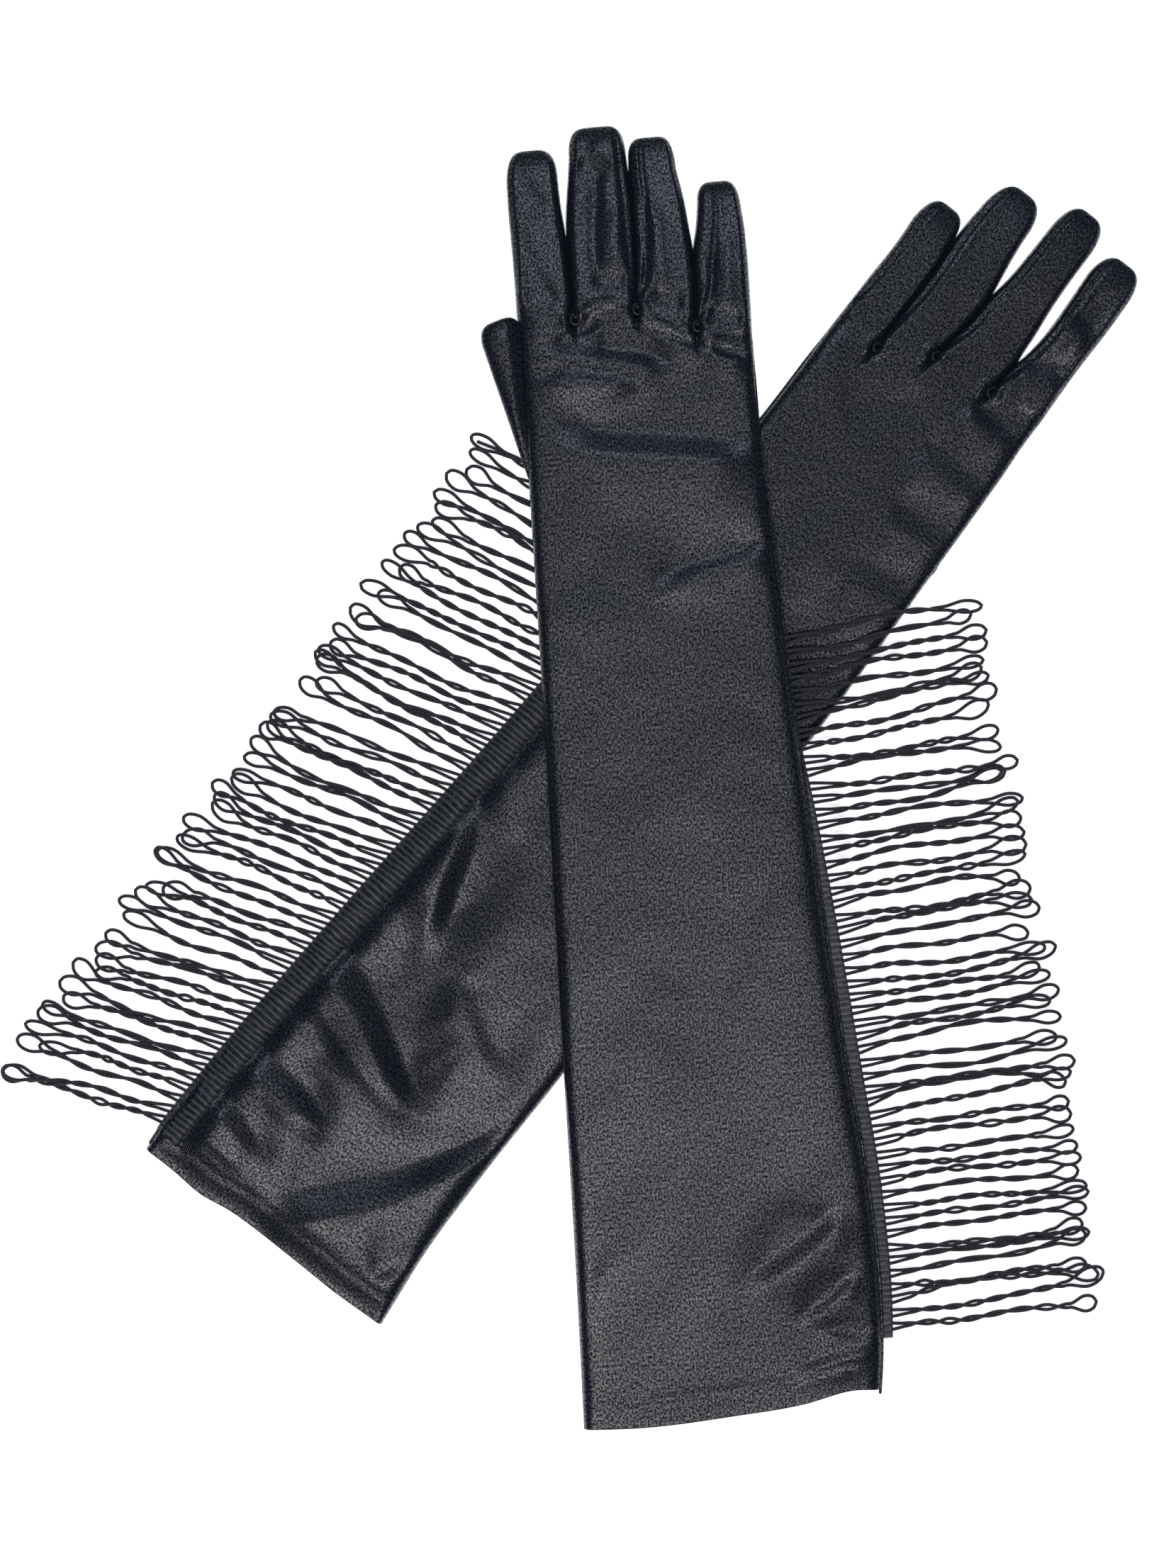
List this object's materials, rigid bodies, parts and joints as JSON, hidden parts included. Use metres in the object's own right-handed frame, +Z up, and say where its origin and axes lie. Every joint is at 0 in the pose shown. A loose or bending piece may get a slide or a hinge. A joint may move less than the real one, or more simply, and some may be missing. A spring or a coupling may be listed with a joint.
{
  "type": "pair of fringed opera gloves",
  "caption": "Pair of long satin opera gloves laid flat and crossed, with fingers and thumbs that move and a looped cord fringe along each outer seam.",
  "frame": {"origin": "on the table under the place where the gloves cross", "axes": "+Z up from the table, +Y along the length of the laid-out pair towards the right glove's fingertips, +X towards the left glove's fingertips"},
  "size_m": [0.4771, 0.5508, 0.017],
  "materials": {
    "black_satin": "satin",
    "header_tape": "ribbed",
    "fringe_cord": "matte",
    "sewing_thread": "satin"
  },
  "bodies": {
    "left_glove": {"left_back_panel": "black_satin", "left_palm_panel": "black_satin", "left_index_side_fold": "black_satin", "left_outer_seam": "black_satin", "left_hem_facing": "black_satin", "left_hem_stitches": "sewing_thread", "left_hem_bar_tack": "sewing_thread", "left_fringe_header": "header_tape", "left_header_stitches": "sewing_thread", "left_fringe_loops": "fringe_cord"},
    "left_index_finger": {"left_index_back": "black_satin", "left_index_palm": "black_satin", "left_index_fourchette": "black_satin"},
    "left_middle_finger": {"left_middle_back": "black_satin", "left_middle_palm": "black_satin", "left_middle_fourchette": "black_satin"},
    "left_ring_finger": {"left_ring_back": "black_satin", "left_ring_palm": "black_satin", "left_ring_fourchette": "black_satin"},
    "left_little_finger": {"left_little_back": "black_satin", "left_little_palm": "black_satin", "left_little_fourchette": "black_satin"},
    "left_thumb": {"left_thumb_palm": "black_satin", "left_thumb_gusset": "black_satin", "left_thumb_back": "black_satin"},
    "right_glove": {"right_back_panel": "black_satin", "right_palm_panel": "black_satin", "right_index_side_fold": "black_satin", "right_outer_seam": "black_satin", "right_hem_facing": "black_satin", "right_hem_stitches": "sewing_thread", "right_hem_bar_tack": "sewing_thread", "right_fringe_header": "header_tape", "right_header_stitches": "sewing_thread", "right_fringe_loops": "fringe_cord"},
    "right_index_finger": {"right_index_back": "black_satin", "right_index_palm": "black_satin", "right_index_fourchette": "black_satin"},
    "right_middle_finger": {"right_middle_back": "black_satin", "right_middle_palm": "black_satin", "right_middle_fourchette": "black_satin"},
    "right_ring_finger": {"right_ring_back": "black_satin", "right_ring_palm": "black_satin", "right_ring_fourchette": "black_satin"},
    "right_little_finger": {"right_little_back": "black_satin", "right_little_palm": "black_satin", "right_little_fourchette": "black_satin"},
    "right_thumb": {"right_thumb_palm": "black_satin", "right_thumb_gusset": "black_satin", "right_thumb_back": "black_satin"}
  },
  "joints": [
    {"name": "left_index_bend", "type": "hinge", "parent": "left_glove", "child": "left_index_finger", "pos_m": [0.14895, 0.13255, 0.0075], "axis": [0.7859, -0.6184, 0], "range_deg": [0, 75]},
    {"name": "left_middle_bend", "type": "hinge", "parent": "left_glove", "child": "left_middle_finger", "pos_m": [0.12826, 0.14757, 0.0075], "axis": [0.7859, -0.6184, 0], "range_deg": [0, 75]},
    {"name": "left_ring_bend", "type": "hinge", "parent": "left_glove", "child": "left_ring_finger", "pos_m": [0.10504, 0.16075, 0.0075], "axis": [0.7859, -0.6184, 0], "range_deg": [0, 75]},
    {"name": "left_little_bend", "type": "hinge", "parent": "left_glove", "child": "left_little_finger", "pos_m": [0.08211, 0.17051, 0.0075], "axis": [0.7859, -0.6184, 0], "range_deg": [0, 75]},
    {"name": "left_thumb_swing", "type": "hinge", "parent": "left_glove", "child": "left_thumb", "pos_m": [0.10451, 0.07463, 0.0012], "axis": [0, 0, -1], "range_deg": [0, 40]},
    {"name": "right_glove_lift", "type": "slide", "parent": "left_glove", "child": "right_glove", "axis": [0, 0, 1], "range_m": [0, 0.15]},
    {"name": "right_index_bend", "type": "hinge", "parent": "right_glove", "child": "right_index_finger", "pos_m": [-0.05057, 0.17765, 0.01639], "axis": [0.996, 0.0889, 0], "range_deg": [0, 75]},
    {"name": "right_middle_bend", "type": "hinge", "parent": "right_glove", "child": "right_middle_finger", "pos_m": [-0.02503, 0.17893, 0.01649], "axis": [0.996, 0.0889, 0], "range_deg": [0, 75]},
    {"name": "right_ring_bend", "type": "hinge", "parent": "right_glove", "child": "right_ring_finger", "pos_m": [0.00162, 0.17729, 0.0168], "axis": [0.996, 0.0889, 0], "range_deg": [0, 75]},
    {"name": "right_little_bend", "type": "hinge", "parent": "right_glove", "child": "right_little_finger", "pos_m": [0.02616, 0.17295, 0.0168], "axis": [0.996, 0.0889, 0], "range_deg": [0, 75]},
    {"name": "right_thumb_swing", "type": "hinge", "parent": "right_glove", "child": "right_thumb", "pos_m": [-0.04497, 0.10486, 0.0105], "axis": [0, 0, 1], "range_deg": [0, 30]}
  ]
}
